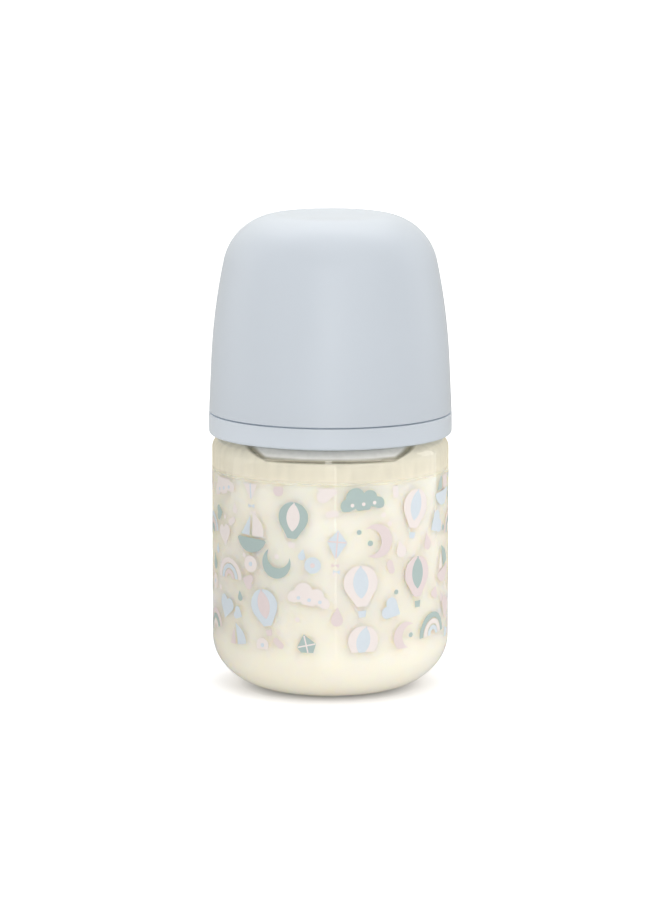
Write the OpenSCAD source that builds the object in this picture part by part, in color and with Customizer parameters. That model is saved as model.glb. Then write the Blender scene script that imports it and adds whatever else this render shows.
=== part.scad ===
// Wide-neck feeding bottle: a clear moulded bottle, a soft teat, a screw ring that clamps the teat's
// flange onto the neck's rim, and a hood that snaps over the ring.
// Millimetres. The origin is the centre of the face that the bottle stands on, and +Z points up.

/* [Bottle] */
// Outside diameter of the bottle's straight side
body_d = 65; // [62:0.5:68]
// Thickness of the bottle's wall
body_wall = 1.3; // [1:0.1:1.8]
// Height of the shoulder above the surface that the bottle stands on
shoulder_z = 69.6; // [50:0.2:120]
// Radius of the rounded edge between the side and the shoulder
shoulder_r = 3.1; // [2.2:0.1:4]
// Radius of the heel's upper arc, which meets the side
heel_upper_r = 12; // [9:0.5:14]
// Radius of the heel's lower arc, which meets the foot
heel_lower_r = 17.8; // [14:0.2:20]
// Angle below the horizontal at which one heel arc passes into the other
heel_split = 38; // [30:1:50]
// Depth of the hollow under the foot
foot_depth = 0.9; // [0.4:0.1:1.4]
// Width of the ring that the bottle stands on, around that hollow
foot_ring_w = 3; // [2:0.2:4]

/* [Neck] */
// Outside diameter of the neck, without its thread
neck_d = 51; // [49:0.5:52]
// Thickness of the neck's wall
neck_wall = 1.8; // [1.5:0.1:2.2]
// Height of the neck's rim above the shoulder
neck_h = 11.4; // [10:0.2:14]
// Radius of the hollow corner between the shoulder and the neck
neck_root_r = 0.8; // [0.4:0.1:1.2]
// Radius of the neck rim's two rounded edges
rim_edge_r = 0.5; // [0.2:0.1:0.7]

/* [Teat] */
// Thickness of the teat's wall
teat_wall = 1.6; // [1.2:0.1:2]
// Outside diameter of the teat's stem, which passes through the ring's opening
stem_d = 41.6; // [40:0.2:42.4]
// Thickness of the flange that the ring clamps
flange_t = 1.8; // [1.4:0.1:2.4]
// How far the flange reaches past the neck's outside
flange_overhang = 0.9; // [0.5:0.1:1.1]
// Depth of the plug lip that enters the neck
plug_h = 2.2; // [1.5:0.1:3]
// Thickness of the plug lip
plug_t = 1.3; // [1:0.1:1.6]
// Gap between the plug lip and the neck's inside
plug_gap = 0.1; // [0.05:0.05:0.3]
// How far the retaining bead stands out of the stem, above the ring
bead_w = 1; // [0.7:0.1:1.4]
// Height of the retaining bead
bead_h = 1.4; // [1:0.1:2]
// Gap between the retaining bead and the ring's top
bead_gap = 0.1; // [0.05:0.05:0.3]
// Radius of the dome that the lips close on
dome_r = 19; // [17.5:0.5:20]
// Diameter of the nipple's root, where the hollow above the dome is narrowest
nipple_root_d = 14.3; // [13.5:0.1:15.5]
// Radius of the hollow between the dome and the nipple
hollow_r = 6; // [5:0.2:7]
// Angle by which the nipple leans outward above that hollow
nipple_flare = 4; // [2:0.5:6]
// Length of the nipple's straight stretch
nipple_len = 2.4; // [1:0.2:5]
// Radius of the nipple's swelling side
bulb_r = 22; // [18:0.5:30]
// Angle above the horizontal at which the swelling passes into the tip
bulb_end = 13; // [10:1:16]
// Radius of the tip's rounded edge
tip_r = 5.4; // [4.6:0.1:5.8]
// Diameter of the milk hole in the tip
milk_hole_d = 0.7; // [0.4:0.1:1]
// Number of air vents in the flange
vent_count = 2; // [1:1:4]
// Diameter of a vent's cup
vent_d = 2; // [1.4:0.1:2.2]
// Thickness of the film left under a vent's cup
vent_film = 0.6; // [0.4:0.1:0.9]
// Length of the slit that opens in that film
vent_slit_l = 1.2; // [0.8:0.1:1.3]
// Width of that slit
vent_slit_w = 0.3; // [0.2:0.1:0.4]
// Depth of the groove that brings air to a vent's cup
air_groove_d = 0.5; // [0.3:0.1:0.7]
// Width of that groove
air_groove_w = 1; // [0.6:0.1:1.3]

/* [Screw ring] */
// Gap between the ring's threaded sleeve and its outer wall
skirt_gap = 3.55; // [3.3:0.05:5.2]
// Height of the visible band
band_h = 5.8; // [4.5:0.1:6.5]
// Gap between the band's lower edge and the bottle's shoulder
ring_lift = 0.75; // [0.5:0.05:1.5]
// Room for the thread between the neck and the ring's bore
thread_room = 1.5; // [1.3:0.1:1.8]
// Thickness of the ring's inner, threaded sleeve
sleeve_wall = 1.4; // [1.2:0.1:1.6]
// Thickness of the ring's outer walls
ring_wall = 1.4; // [1.2:0.1:1.6]
// Thickness of the plate that presses on the teat's flange
plate_t = 1.8; // [1.4:0.1:2.4]
// Gap between the teat's stem and the ring's opening
stem_gap = 0.3; // [0.2:0.05:0.5]
// Radius of the band's rounded lower edge
band_edge_r = 0.8; // [0.4:0.1:1.2]
// Radius of the rounded edge at the top of the ring
top_edge_r = 1; // [0.5:0.1:1.3]
// Radius of the snap bead's section
snap_r = 0.6; // [0.4:0.1:0.8]
// How far the snap bead stands out of the ring
snap_h = 0.22; // [0.1:0.02:0.26]
// Height of the snap bead above the seam
snap_z = 3; // [2:0.2:4]

/* [Hood] */
// Thickness of the hood's wall
hood_wall = 1.6; // [1.3:0.1:1.9]
// How far the hood's mouth lies inside the outside of the ring's band
hood_inset = 0.07; // [0:0.01:0.3]
// Gap between the hood's inside and the part of the ring that it slides over
hood_gap = 0.3; // [0.28:0.01:0.4]
// Radius of the rounded edges on both sides of the seam
seam_edge_r = 0.25; // [0.1:0.05:0.5]
// Angle by which the hood's lower side leans inward
side_lean = 2.5; // [1:0.25:3]
// Radius of the hood's gently curved side
side_r = 174; // [140:1:200]
// Angle above the horizontal at which the side passes into the hood's shoulder
side_end = 11.8; // [10:0.2:13]
// Radius of the hood's shoulder
crown_r = 15.9; // [14:0.1:17]
// Angle above the horizontal at which the shoulder passes into the crest
crown_end = 79.5; // [76:0.5:82]
// Radius of the crest around the hood's top
crest_r = 10; // [6:0.5:12]
// Depth of the shallow dish in the hood's top
dish_depth = 0.4; // [0.2:0.1:0.8]
// Headroom between the teat's tip and the hood's inside
headroom = 7; // [3:0.5:9]

/* [Hidden] */
$fn = 96;

// Angle that one step of a drawn arc spans, and the fewest steps in an arc
arc_step = 6;
arc_least = 3;
// How far a cutting solid reaches past the face that it opens
past = 0.5;

// The unit direction at an angle above the horizontal
function dir(angle) = [cos(angle), sin(angle)];

// Points along an arc. A negative radius gives a hollow arc, whose centre lies outside the wall.
function arc(centre, radius, from, to) =
    let (steps = max(arc_least, ceil(abs(to - from) / arc_step)))
    [for (i = [0:steps]) centre + radius * dir(from + (to - from) * i / steps)];

// A list in the opposite order, to walk back along the inside of a wall
function back(points) = [for (i = [len(points) - 1:-1:0]) points[i]];

// Radius of the arc that spans a shallow bowl
function bowl_r(half_width, depth) = (half_width * half_width + depth * depth) / (2 * depth);

// Bottle
body_r = body_d / 2;
foot_r = body_r - heel_upper_r + (heel_upper_r - heel_lower_r) * cos(heel_split);
heel_lower_c = [foot_r, heel_lower_r];
heel_upper_c = heel_lower_c + (heel_lower_r - heel_upper_r) * dir(-heel_split);
foot_bowl_w = foot_r - foot_ring_w;
foot_bowl_r = bowl_r(foot_bowl_w, foot_depth);
foot_bowl_end = asin(foot_bowl_w / foot_bowl_r);
foot_bowl_c = [0, foot_depth - foot_bowl_r];
shoulder_c = [body_r - shoulder_r, shoulder_z - shoulder_r];
neck_r = neck_d / 2;
neck_in_r = neck_r - neck_wall;
rim_z = shoulder_z + neck_h;
inner_root_r = neck_root_r + body_wall;

// Teat below its dome
stem_r = stem_d / 2;
stem_in_r = stem_r - teat_wall;
plate_z = rim_z + flange_t;
flange_r = neck_r + flange_overhang;
plug_r = neck_in_r - plug_gap;
ring_top_z = plate_z + plate_t;
bead_z = ring_top_z + bead_gap;
bead_edge_r = min(bead_h / 2, bead_w);
bead_c_r = stem_r + bead_w - bead_edge_r;

// Teat's dome and nipple: each arc's centre follows from the one below it
dome_z = bead_z + bead_h;
dome_c = [stem_r - dome_r, dome_z];
hollow_reach = nipple_root_d / 2 + hollow_r * cos(nipple_flare) - dome_c[0];
dome_end = acos(hollow_reach / (dome_r + hollow_r));
hollow_c = dome_c + (dome_r + hollow_r) * dir(dome_end);
bulb_foot = hollow_c - hollow_r * dir(-nipple_flare) + nipple_len * dir(90 - nipple_flare);
bulb_c = bulb_foot - bulb_r * dir(-nipple_flare);
tip_c = bulb_c + (bulb_r - tip_r) * dir(bulb_end);
tip_z = tip_c[1] + tip_r;
vent_r = stem_r + vent_d / 2;

// Screw ring
bore_r = neck_r + thread_room;
sleeve_r = bore_r + sleeve_wall;
ring_r = sleeve_r + skirt_gap + ring_wall;
ring_z = shoulder_z + ring_lift;
seam_z = ring_z + band_h;
opening_r = stem_r + stem_gap;

// Hood
mouth_r = ring_r - hood_inset;
hood_in_r = mouth_r - hood_wall;
crown_z = tip_z + headroom + hood_wall;
mouth_c = [mouth_r - seam_edge_r, seam_z + seam_edge_r];
side_rise = side_r * (sin(side_end) - sin(side_lean));
crown_rise = crown_r * (sin(crown_end) - sin(side_end));
crest_rise = crest_r * (1 - sin(crown_end));
mouth_top = mouth_c + seam_edge_r * dir(side_lean);
straight_h = crown_z - mouth_top[1] - side_rise - crown_rise - crest_rise;
side_foot = mouth_top + straight_h * [-tan(side_lean), 1];
side_c = side_foot - side_r * dir(side_lean);
crown_c = side_c + (side_r - crown_r) * dir(side_end);
crest_c = crown_c + (crown_r - crest_r) * dir(crown_end);
dish_r = bowl_r(crest_c[0], dish_depth);
dish_end = asin(crest_c[0] / dish_r);
dish_c = [0, crown_z - dish_depth + dish_r];

// Outside radius of the ring's upper part at a height: it leans as the hood does
function upper_r(z) = hood_in_r - hood_gap - (z - seam_z) * tan(side_lean);

// The bottle's wall from its foot to its shoulder, moved inward by an amount
function body_line(inward) = concat(
    arc(foot_bowl_c, foot_bowl_r + inward, 90, 90 - foot_bowl_end),
    arc(heel_lower_c, heel_lower_r - inward, -90, -heel_split),
    arc(heel_upper_c, heel_upper_r - inward, -heel_split, 0),
    arc(shoulder_c, shoulder_r - inward, 0, 90));

module bottle() {
    neck_root_c = [neck_r + neck_root_r, shoulder_z + neck_root_r];
    inner_root_c = [neck_in_r + inner_root_r, neck_root_c[1]];
    neck_line = concat(
        arc(neck_root_c, neck_root_r, -90, -180),
        arc([neck_r - rim_edge_r, rim_z - rim_edge_r], rim_edge_r, 0, 90),
        arc([neck_in_r + rim_edge_r, rim_z - rim_edge_r], rim_edge_r, 90, 180),
        arc(inner_root_c, inner_root_r, -180, -90));
    color([0.93, 0.92, 0.86, 0.45])
        rotate_extrude() polygon(concat(body_line(0), neck_line, back(body_line(body_wall))));
}

// The teat's wall from its dome to its tip, moved inward by an amount
function teat_line(inward) = concat(
    arc(dome_c, dome_r - inward, 0, dome_end),
    arc(hollow_c, -hollow_r - inward, dome_end, -nipple_flare),
    arc(bulb_c, bulb_r - inward, -nipple_flare, bulb_end),
    arc(tip_c, tip_r - inward, bulb_end, 90));

// An air groove, the cup that it feeds, and the slit through the film under the cup
module vent() {
    translate([vent_r, -air_groove_w / 2, plate_z - air_groove_d])
        cube([flange_r - vent_r + past, air_groove_w, air_groove_d + past]);
    translate([vent_r, 0, rim_z + vent_film]) cylinder(d = vent_d, h = flange_t - vent_film);
    translate([vent_r - vent_slit_l / 2, -vent_slit_w / 2, rim_z - past])
        cube([vent_slit_l, vent_slit_w, vent_film + 2 * past]);
}

module teat() {
    flange_edge_r = flange_t / 4;
    base_line = concat(
        [[stem_in_r, rim_z], [plug_r - plug_t, rim_z], [plug_r - plug_t, rim_z - plug_h]],
        [[plug_r, rim_z - plug_h], [plug_r, rim_z]],
        arc([flange_r - flange_edge_r, rim_z + flange_edge_r], flange_edge_r, -90, 0),
        arc([flange_r - flange_edge_r, plate_z - flange_edge_r], flange_edge_r, 0, 90),
        [[stem_r, plate_z], [stem_r, bead_z]],
        arc([bead_c_r, bead_z + bead_edge_r], bead_edge_r, -90, 0),
        arc([bead_c_r, dome_z - bead_edge_r], bead_edge_r, 0, 90));
    hole_line = [[milk_hole_d / 2, tip_z], [milk_hole_d / 2, tip_z - teat_wall]];
    color([0.96, 0.95, 0.92, 0.8])
        difference() {
            rotate_extrude()
                polygon(concat(base_line, teat_line(0), hole_line, back(teat_line(teat_wall))));
            for (i = [0:vent_count - 1]) rotate(i * 360 / vent_count) vent();
        }
}

module screw_ring() {
    ledge_z = seam_z - ring_wall;
    top_c_z = ring_top_z - top_edge_r;
    top_c = [upper_r(top_c_z) - top_edge_r / cos(side_lean), top_c_z];
    hollow_line = [
        [bore_r, ring_z], [sleeve_r, ring_z], [sleeve_r, plate_z],
        [upper_r(plate_z) - ring_wall, plate_z], [upper_r(ledge_z) - ring_wall, ledge_z],
        [ring_r - ring_wall, ledge_z], [ring_r - ring_wall, ring_z]];
    outer_line = concat(
        arc([ring_r - band_edge_r, ring_z + band_edge_r], band_edge_r, -90, 0),
        arc([ring_r - seam_edge_r, seam_z - seam_edge_r], seam_edge_r, 0, 90),
        [[upper_r(seam_z), seam_z]],
        arc(top_c, top_edge_r, side_lean, 90));
    plate_line = [[opening_r, ring_top_z], [opening_r, plate_z], [bore_r, plate_z]];
    color([0.79, 0.82, 0.85])
        rotate_extrude() {
            polygon(concat(hollow_line, outer_line, plate_line));
            translate([upper_r(seam_z + snap_z) + snap_h - snap_r, seam_z + snap_z]) circle(snap_r);
        }
}

// The hood's wall from its mouth to its crest, moved inward by an amount
function hood_line(inward) = concat(
    arc(side_c, side_r - inward, side_lean, side_end),
    arc(crown_c, crown_r - inward, side_end, crown_end),
    arc(crest_c, crest_r - inward, crown_end, 90));

module hood() {
    mouth_line = concat(
        [[hood_in_r, seam_z]],
        arc(mouth_c, seam_edge_r, -90, side_lean));
    dish_line = arc(dish_c, -dish_r, 90 + dish_end, 90);
    color([0.79, 0.82, 0.85])
        rotate_extrude()
            polygon(concat(mouth_line, hood_line(0), dish_line,
                [[0, crown_z - hood_wall]], back(hood_line(hood_wall))));
}

bottle();
teat();
screw_ring();
hood();
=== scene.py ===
import math
import random

import bpy
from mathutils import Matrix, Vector


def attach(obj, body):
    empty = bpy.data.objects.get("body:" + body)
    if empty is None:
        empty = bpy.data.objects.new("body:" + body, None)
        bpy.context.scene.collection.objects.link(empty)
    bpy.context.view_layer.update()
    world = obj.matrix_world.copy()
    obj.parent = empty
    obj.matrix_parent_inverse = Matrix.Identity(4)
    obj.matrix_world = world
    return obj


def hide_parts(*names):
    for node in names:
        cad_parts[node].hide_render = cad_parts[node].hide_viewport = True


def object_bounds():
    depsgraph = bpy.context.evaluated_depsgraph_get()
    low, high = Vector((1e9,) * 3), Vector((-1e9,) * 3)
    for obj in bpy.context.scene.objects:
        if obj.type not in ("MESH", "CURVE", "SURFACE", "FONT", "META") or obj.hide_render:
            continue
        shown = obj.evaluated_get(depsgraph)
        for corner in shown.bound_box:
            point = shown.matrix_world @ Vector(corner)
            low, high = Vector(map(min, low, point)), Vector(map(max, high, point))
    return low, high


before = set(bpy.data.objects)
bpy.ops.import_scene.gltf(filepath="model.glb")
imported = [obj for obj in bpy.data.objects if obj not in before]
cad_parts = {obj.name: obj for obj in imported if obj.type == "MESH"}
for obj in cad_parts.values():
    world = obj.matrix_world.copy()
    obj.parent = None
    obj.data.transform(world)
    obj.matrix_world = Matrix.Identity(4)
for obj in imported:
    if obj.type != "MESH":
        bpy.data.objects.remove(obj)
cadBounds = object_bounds()
mm = 0.001  # sizes below are in millimetres, Blender's are in metres
print("frame loaded:", ", ".join(sorted(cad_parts)))


# modelling helpers

merging = {"turned": 0.002, "cut": 0.001, "flat": 0.004}  # vertices this near become one
sharpFrom = {"turned": 35, "cut": 30}  # edges sharper than this many degrees stay sharp


def clearSelection():
    bpy.ops.object.select_all(action="DESELECT")


def useOnly(piece):
    clearSelection()
    piece.select_set(True)
    bpy.context.view_layer.objects.active = piece


def mergeClose(distance):
    bpy.ops.mesh.select_all(action="SELECT")
    bpy.ops.mesh.remove_doubles(threshold=distance * mm)


def arcLine(centre, radius, start, end, step=4):
    # points every few degrees; a negative radius gives a hollow arc, centred outside the wall
    count = max(3, math.ceil(abs(end - start) / step))
    turns = [math.radians(start + (end - start) * i / count) for i in range(count + 1)]
    return [(centre[0] + radius * math.cos(t), centre[1] + radius * math.sin(t)) for t in turns]


def along(point, distance, angle):
    # the point at that distance, in the direction of that angle
    turn = math.radians(angle)
    return (point[0] + distance * math.cos(turn), point[1] + distance * math.sin(turn))


def bowlRadius(halfWidth, depth):
    # the radius of a shallow bowl of that width and depth
    return (halfWidth ** 2 + depth ** 2) / (2 * depth)


def drawLine(name, points):
    # one vertex, pulled from point to point; it stays in edit mode
    clearSelection()
    bpy.ops.mesh.primitive_plane_add(size=mm)
    piece = bpy.context.object
    piece.name = piece.data.name = name
    bpy.ops.object.mode_set(mode="EDIT")
    bpy.ops.mesh.select_mode(type="VERT")
    bpy.ops.mesh.select_all(action="SELECT")
    bpy.ops.mesh.merge(type="CENTER")
    here = Vector(points[0]) * mm
    bpy.ops.transform.translate(value=here)
    for point in points[1:]:
        there = Vector(point) * mm
        bpy.ops.mesh.extrude_vertices_move(TRANSFORM_OT_translate={"value": there - here})
        here = there
    return piece


def turnOnAxis(name, outline, steps=144):
    # an outline of radius and height, turned round the bottle's axis
    piece = drawLine(name, [(r, 0, z) for r, z in outline])
    bpy.ops.mesh.select_all(action="SELECT")
    bpy.ops.mesh.spin(steps=steps, angle=2 * math.pi, center=(0, 0, 0), axis=(0, 0, 1))
    mergeClose(merging["turned"])
    bpy.ops.mesh.normals_make_consistent(inside=False)
    bpy.ops.object.mode_set(mode="OBJECT")
    bpy.ops.object.shade_smooth_by_angle(angle=math.radians(sharpFrom["turned"]))
    return piece


def combine(piece, tool, operation):
    # a moulded-in rib or a cut: the tool's mesh ends up in the piece
    useOnly(piece)
    joint = piece.modifiers.new("moulded", "BOOLEAN")
    joint.operation, joint.object, joint.solver = operation, tool, "EXACT"
    bpy.ops.object.modifier_apply(modifier="moulded")
    bpy.data.objects.remove(tool)
    bpy.ops.object.mode_set(mode="EDIT")
    mergeClose(merging["cut"])
    bpy.ops.object.mode_set(mode="OBJECT")
    bpy.ops.object.shade_smooth_by_angle(angle=math.radians(sharpFrom["cut"]))


def screwRidge(name, section, startHeight, lead, turns, startTurn=0, stepsPerTurn=96):
    # the ridge's section is swept upward, right-handed, and its two ends are closed
    ridge = drawLine(name, [(r, 0, startHeight + z) for r, z in section + section[:1]])
    mergeClose(merging["cut"])
    bpy.ops.object.mode_set(mode="OBJECT")
    sweep = ridge.modifiers.new("thread", "SCREW")
    sweep.angle = 2 * math.pi * turns
    sweep.screw_offset = lead * turns * mm
    sweep.steps = sweep.render_steps = int(stepsPerTurn * turns)
    bpy.ops.object.modifier_apply(modifier="thread")
    bpy.ops.object.mode_set(mode="EDIT")
    bpy.ops.mesh.select_all(action="DESELECT")
    bpy.ops.mesh.select_mode(type="EDGE")
    bpy.ops.mesh.select_non_manifold(extend=False, use_wire=False, use_multi_face=False,
                                     use_non_contiguous=False, use_verts=False)
    bpy.ops.mesh.fill_holes(sides=len(section))
    bpy.ops.mesh.select_mode(type="FACE")
    bpy.ops.mesh.select_all(action="SELECT")
    bpy.ops.mesh.normals_make_consistent(inside=False)
    bpy.ops.transform.rotate(value=math.radians(startTurn), orient_axis="Z",
                             center_override=(0, 0, 0))
    bpy.ops.object.mode_set(mode="OBJECT")
    return ridge


# material helpers

def colour(code):
    # sRGB hex to the linear colour that the shaders take
    channels = [int(code[i:i + 2], 16) / 255 for i in (1, 3, 5)]
    return [c / 12.92 if c <= 0.04045 else ((c + 0.055) / 1.055) ** 2.4 for c in channels] + [1]


def addNode(tree, kind, settings=None, links=None):
    # a link comes from a socket, or from a node, which stands for its first output
    made = tree.nodes.new(kind)
    for key, value in (settings or {}).items():
        if isinstance(key, int) or key in made.inputs:
            made.inputs[key].default_value = value
        else:
            setattr(made, key, value)
    for key, source in (links or {}).items():
        isNode = isinstance(source, bpy.types.Node)
        tree.links.new(source.outputs[0] if isNode else source, made.inputs[key])
    return made


def newMaterial(name):
    # an empty tree, with the coordinates of the piece that wears the material
    material = bpy.data.materials.new(name)
    material.use_nodes = True
    tree = material.node_tree
    tree.nodes.clear()
    return material, tree, addNode(tree, "ShaderNodeTexCoord").outputs["Object"]


def grey(level):
    return (level, level, level, 1)


def setStops(node, stops):
    # colours along a ramp; the stops at its two ends take the first and the last of them
    ramp = node.color_ramp
    for where, shade in stops:
        if 0 < where < 1:
            ramp.elements.new(where).color = shade
    ramp.elements[0].color, ramp.elements[-1].color = stops[0][1], stops[-1][1]


def seenDirectly(tree, rays):
    # 1 for what the camera sees straight, mirrored or through something clear
    seen = addNode(tree, "ShaderNodeMath", {"operation": "MAXIMUM"},
                   {0: rays.outputs["Is Camera Ray"], 1: rays.outputs["Is Glossy Ray"]})
    return addNode(tree, "ShaderNodeMath", {"operation": "MAXIMUM"},
                   {0: seen, 1: rays.outputs["Is Transmission Ray"]})


def dress(piece, material, body):
    piece.data.materials.clear()
    piece.data.materials.append(material)
    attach(piece, body)


# camera: a long lens a little above the bottle, looking straight at its front

cameraView = {"elevation": 9.1, "distance": 1.3, "aim": (-0.0001, 0, 0.0653), "lens": 189.2,
              "sensor": 36, "nearest": 0.05, "farthest": 50}


def makeCamera(size):
    lift = math.radians(size["elevation"])
    lens = bpy.data.cameras.new("camera")
    lens.sensor_fit, lens.lens = "VERTICAL", size["lens"]
    lens.sensor_height = lens.sensor_width = size["sensor"]
    lens.clip_start, lens.clip_end = size["nearest"], size["farthest"]
    camera = bpy.data.objects.new("camera", lens)
    bpy.context.scene.collection.objects.link(camera)
    back = Vector((0, -math.cos(lift), math.sin(lift)))
    camera.location = Vector(size["aim"]) + back * size["distance"]
    camera.rotation_euler = (math.pi / 2 - lift, 0, 0)
    bpy.context.scene.camera = camera


makeCamera(cameraView)


# the bottle: one blow-moulded wall with its neck and the thread that the ring runs on

bottle = {
    "diameter": 65, "wall": 1.3, "shoulderHeight": 69.6, "shoulderRadius": 3.1,
    "shoulderInside": 3.3, "heelUpper": 12, "heelLower": 17.8, "heelSplit": 38, "footDepth": 0.9,
    "footRing": 3, "neckDiameter": 51, "neckWall": 1.8, "neckHeight": 11.4, "neckRoot": 0.8,
    "rimEdge": 0.5,
}
thread = {"lead": 4.5, "turns": 1.5, "height": 0.95, "foot": 1.9, "crest": 0.8, "sunk": 0.05,
          "lowest": 72.3}


def shoulderLine(inward):
    # the wall thickens where it turns over: the inside has an ample curve of its own
    b = bottle
    radius = b["shoulderRadius"] if inward == 0 else b["shoulderInside"] + b["wall"] - inward
    far = b["diameter"] / 2 - inward - radius
    return arcLine((far, b["shoulderHeight"] - inward - radius), radius, 0, 90, 6)


def bodyLine(inward, top=True):
    # hollowed foot, heel of two arcs, straight side and, if wanted, the shoulder
    b = bottle
    side, lower, upper = b["diameter"] / 2, b["heelLower"], b["heelUpper"]
    split = math.radians(b["heelSplit"])
    foot = side - upper + (upper - lower) * math.cos(split)
    lowerCentre = (foot, lower)
    upperCentre = along(lowerCentre, lower - upper, -b["heelSplit"])
    bowl = foot - b["footRing"]
    bowlR = bowlRadius(bowl, b["footDepth"])
    bowlEnd = math.degrees(math.asin(bowl / bowlR))
    line = arcLine((0, b["footDepth"] - bowlR), bowlR + inward, 90, 90 - bowlEnd, 1.5)
    line += arcLine(lowerCentre, lower - inward, -90, -b["heelSplit"])
    line += arcLine(upperCentre, upper - inward, -b["heelSplit"], 0)
    return line + shoulderLine(inward) if top else line


def makeBottleWall():
    b = bottle
    outer, rim = b["neckDiameter"] / 2, b["shoulderHeight"] + b["neckHeight"]
    inner, edge = outer - b["neckWall"], b["rimEdge"]
    rootHeight = b["shoulderHeight"] + b["neckRoot"]
    innerRoot = b["neckRoot"] + b["wall"]
    line = bodyLine(0)
    line += arcLine((outer + b["neckRoot"], rootHeight), b["neckRoot"], -90, -180, 10)
    line += arcLine((outer - edge, rim - edge), edge, 0, 90, 15)
    line += arcLine((inner + edge, rim - edge), edge, 90, 180, 15)
    line += arcLine((inner + innerRoot, rootHeight), innerRoot, -180, -90, 10)
    line += bodyLine(b["wall"])[::-1]
    return turnOnAxis("bottleWall", line)


def ridgeSection(face, outward):
    # a blunt ridge on a face of that radius, its foot sunk a little into the face
    half, crest = thread["foot"] / 2, thread["crest"] / 2
    foot, top = face - thread["sunk"] * outward, face + thread["height"] * outward
    return [(foot, -half), (top, -crest), (top, crest), (foot, half)]


bottleWall = makeBottleWall()
neckRidge = screwRidge("neckRidge", ridgeSection(bottle["neckDiameter"] / 2, 1),
                       thread["lowest"], thread["lead"], thread["turns"])
combine(bottleWall, neckRidge, "UNION")
print("bottle wall and neck thread made")


# the milk: it wets the wall, so its skin lies a hair inside the wall's thickness

milk = {"level": 62.2, "wetting": 0.1, "climb": 0.55, "climbWidth": 1.4, "climbSteps": 8,
        "film": 0.08, "filmBefore": 0.03, "filmBelow": 2.1}


def makeMilk():
    line = bodyLine(bottle["wall"] - milk["wetting"], top=False)
    edge = line[-1][0]
    for i in range(milk["climbSteps"] + 1):
        t = i / milk["climbSteps"]
        sag = milk["climb"] * (1 - (1 - t) ** 2)
        line.append((edge - milk["climbWidth"] * t, milk["level"] - sag))
    line.append((0, milk["level"] - milk["climb"]))
    return turnOnAxis("milk", line)


def makeFilm():
    # what clings to the wall above the milk after a shake, up to the neck's root; it starts
    # below the milk's edge and a hair before it, so that no line shows where the two meet
    wet = bottle["wall"] - milk["wetting"]
    side = bottle["diameter"] / 2
    root = bottle["neckDiameter"] / 2 - bottle["neckWall"] + bottle["wall"] + bottle["neckRoot"]
    line = []
    for depth in (wet - milk["filmBefore"], wet + milk["wetting"] + milk["film"]):
        skin = [(side - depth, milk["level"] - milk["filmBelow"])]
        skin += shoulderLine(depth)
        skin.append((root, bottle["shoulderHeight"] - depth))
        line += skin[::-1] if line else skin
    return turnOnAxis("milkFilm", line + line[:1])


milkBody = makeMilk()
milkFilm = makeFilm()
print("milk poured to", milk["level"], "mm")


# the teat: dome, hollow, nipple and the flange that the ring clamps
# the ring's and hood's sizes stand here too, since each height follows from the piece below it

teat = {
    "wall": 1.6, "stem": 41.6, "flange": 1.8, "overhang": 0.9, "plugDepth": 2.2, "plugWall": 1.3,
    "plugGap": 0.1, "beadWidth": 1, "beadHeight": 1.4, "beadGap": 0.1, "dome": 19, "hollow": 6,
    "nippleRoot": 14.3, "flare": 4, "straight": 2.4, "bulb": 22, "bulbEnd": 13, "tip": 5.4,
    "milkHole": 0.7, "vents": 2, "ventCup": 2, "ventFilm": 0.6, "slitLength": 1.2,
    "slitWidth": 0.3, "slitPast": 0.1, "grooveDepth": 0.5, "grooveWidth": 1, "cutPast": 0.5,
}
ring = {
    "bandHeight": 5.8, "lift": 0.75, "threadRoom": 1.5, "sleeve": 1.4, "skirtGap": 3.55,
    "wall": 1.4, "plate": 1.8, "stemGap": 0.3, "bandEdge": 0.8, "topEdge": 1, "snapRadius": 0.6,
    "snapStand": 0.22, "snapAbove": 3, "ridgeTurns": 1.25, "ridgeDrop": 0.6, "ridgeStart": 60,
}
hood = {
    "wall": 1.6, "inset": 0.07, "gap": 0.3, "seamEdge": 0.25, "lean": 2.5, "side": 174,
    "sideEnd": 11.8, "crown": 15.9, "crownEnd": 79.5, "crest": 10, "dish": 0.4, "headroom": 7,
    "seamGap": 0.34,
}

rimHeight = bottle["shoulderHeight"] + bottle["neckHeight"]
plateHeight = rimHeight + teat["flange"]
ringTop = plateHeight + ring["plate"]
ringFoot = bottle["shoulderHeight"] + ring["lift"]
seamHeight = ringFoot + ring["bandHeight"]
domeHeight = ringTop + teat["beadGap"] + teat["beadHeight"]


def teatArcs():
    # centres of the tangent arcs, each worked out from the one below it
    t = teat
    dome = (t["stem"] / 2 - t["dome"], domeHeight)
    reach = t["nippleRoot"] / 2 + t["hollow"] * math.cos(math.radians(t["flare"])) - dome[0]
    domeEnd = math.degrees(math.acos(reach / (t["dome"] + t["hollow"])))
    hollow = along(dome, t["dome"] + t["hollow"], domeEnd)
    foot = along(along(hollow, -t["hollow"], -t["flare"]), t["straight"], 90 - t["flare"])
    bulb = along(foot, -t["bulb"], -t["flare"])
    tip = along(bulb, t["bulb"] - t["tip"], t["bulbEnd"])
    return dome, domeEnd, hollow, bulb, tip


def teatLine(inward):
    t = teat
    dome, domeEnd, hollow, bulb, tip = teatArcs()
    line = arcLine(dome, t["dome"] - inward, 0, domeEnd, 3)
    line += arcLine(hollow, -t["hollow"] - inward, domeEnd, -t["flare"], 5)
    line += arcLine(bulb, t["bulb"] - inward, -t["flare"], t["bulbEnd"], 3)
    line += arcLine(tip, t["tip"] - inward, t["bulbEnd"], 90, 5)
    return line


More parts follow.
